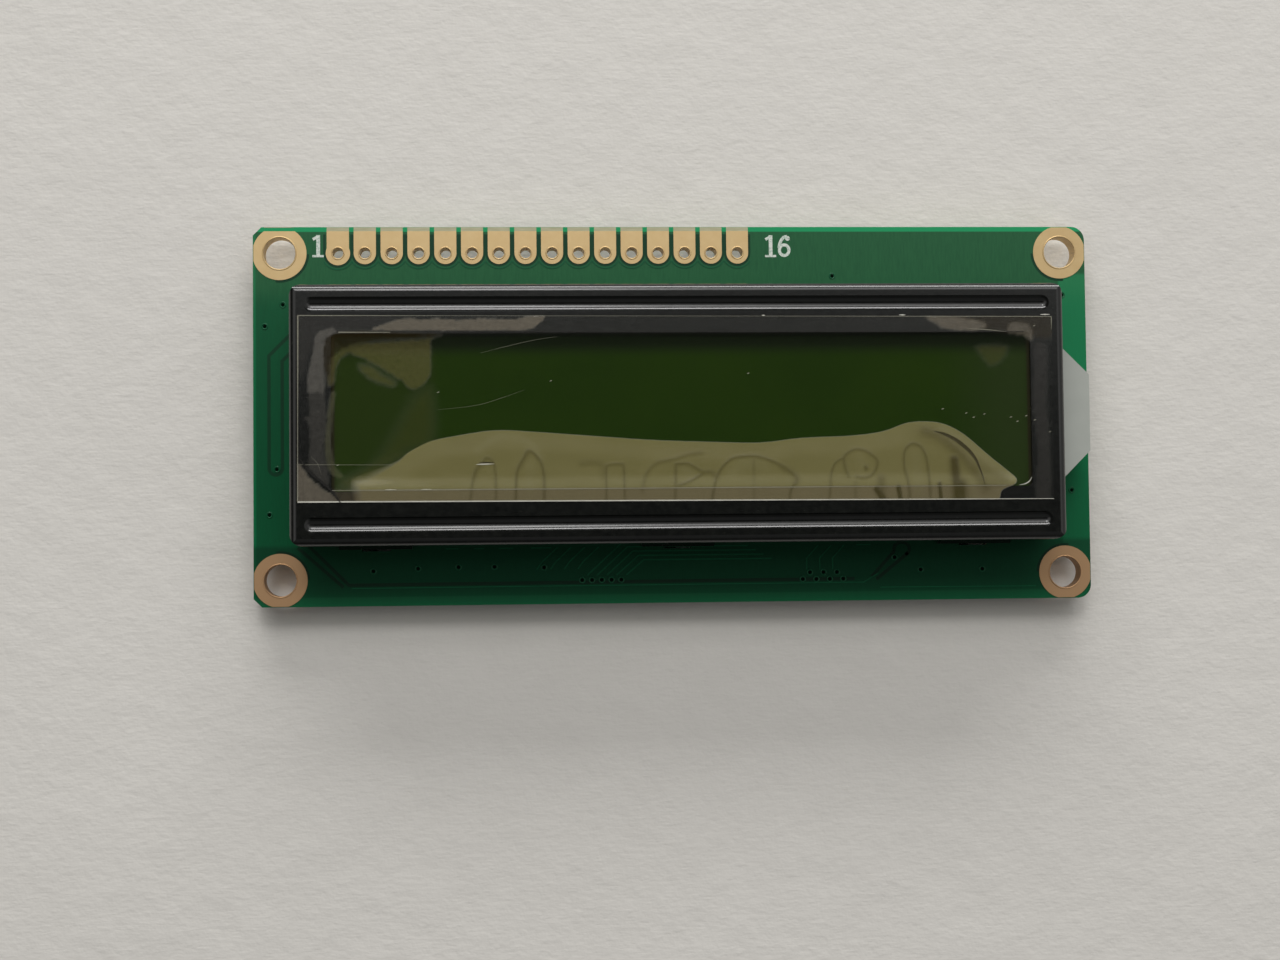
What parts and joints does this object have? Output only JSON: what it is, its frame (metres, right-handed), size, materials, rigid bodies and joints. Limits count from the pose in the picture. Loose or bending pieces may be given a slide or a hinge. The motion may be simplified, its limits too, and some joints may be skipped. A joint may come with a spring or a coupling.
{
  "type": "character lcd module",
  "caption": "Two-line character display module: green circuit board, plated pin row, black metal bezel, side-lit backlight and a clear film over the dark green screen.",
  "frame": {"origin": "centre of the mounting-hole pattern on the board's back face", "axes": "+X along the board, +Y towards the pin row, +Z out of the display"},
  "size_m": [0.08, 0.036, 0.0102],
  "materials": {
    "solder_mask_board": "glossy solder mask over glass laminate",
    "black_paint": "glossy black paint",
    "clear_film": "clear and slightly wrinkled",
    "display_face": "dark green, semi-gloss",
    "cell_glass": "polished",
    "cell_sealant": "dull",
    "crystal_layer": "dull green",
    "rear_face": "satin",
    "contact_rubber": "dull",
    "white_film": "satin white",
    "clear_acrylic": "polished",
    "lamp_resin": "satin",
    "tinned_wire": "bright tin",
    "solder": "bright",
    "black_resin": "semi-gloss",
    "resistor_body": "dull with bright ends",
    "capacitor_body": "dull with bright ends",
    "gold_plating": "gold plated copper"
  },
  "bodies": {
    "root": {"circuit_board": "solder_mask_board", "bezel": "black_paint", "protective_film": "clear_film", "front_polarizer": "display_face", "front_glass": "cell_glass", "cell_seal": "cell_sealant", "liquid_crystal": "crystal_layer", "rear_glass": "cell_glass", "rear_polarizer": "rear_face", "contact_strip_upper": "contact_rubber", "contact_strip_lower": "contact_rubber", "diffuser_sheet": "white_film", "light_guide": "clear_acrylic", "reflector_sheet": "white_film", "ear_cover": "white_film", "side_lamp": "lamp_resin", "lamp_lead_1": "tinned_wire", "lamp_lead_2": "tinned_wire", "lead_solder_1": "solder", "lead_solder_2": "solder", "chip_cover_left": "black_resin", "chip_cover_right": "black_resin", "resistor_1": "resistor_body", "resistor_2": "resistor_body", "resistor_3": "resistor_body", "resistor_4": "resistor_body", "resistor_5": "resistor_body", "resistor_6": "resistor_body", "capacitor_1": "capacitor_body", "capacitor_2": "capacitor_body", "pin_pad_01": "gold_plating", "pin_pad_02": "gold_plating", "pin_pad_03": "gold_plating", "pin_pad_04": "gold_plating", "pin_pad_05": "gold_plating", "pin_pad_06": "gold_plating", "pin_pad_07": "gold_plating", "pin_pad_08": "gold_plating", "pin_pad_09": "gold_plating", "pin_pad_10": "gold_plating", "pin_pad_11": "gold_plating", "pin_pad_12": "gold_plating", "pin_pad_13": "gold_plating", "pin_pad_14": "gold_plating", "pin_pad_15": "gold_plating", "pin_pad_16": "gold_plating", "corner_pad_top_left": "gold_plating", "corner_pad_top_right": "gold_plating", "corner_pad_bottom_left": "gold_plating", "corner_pad_bottom_right": "gold_plating"}
  },
  "joints": []
}
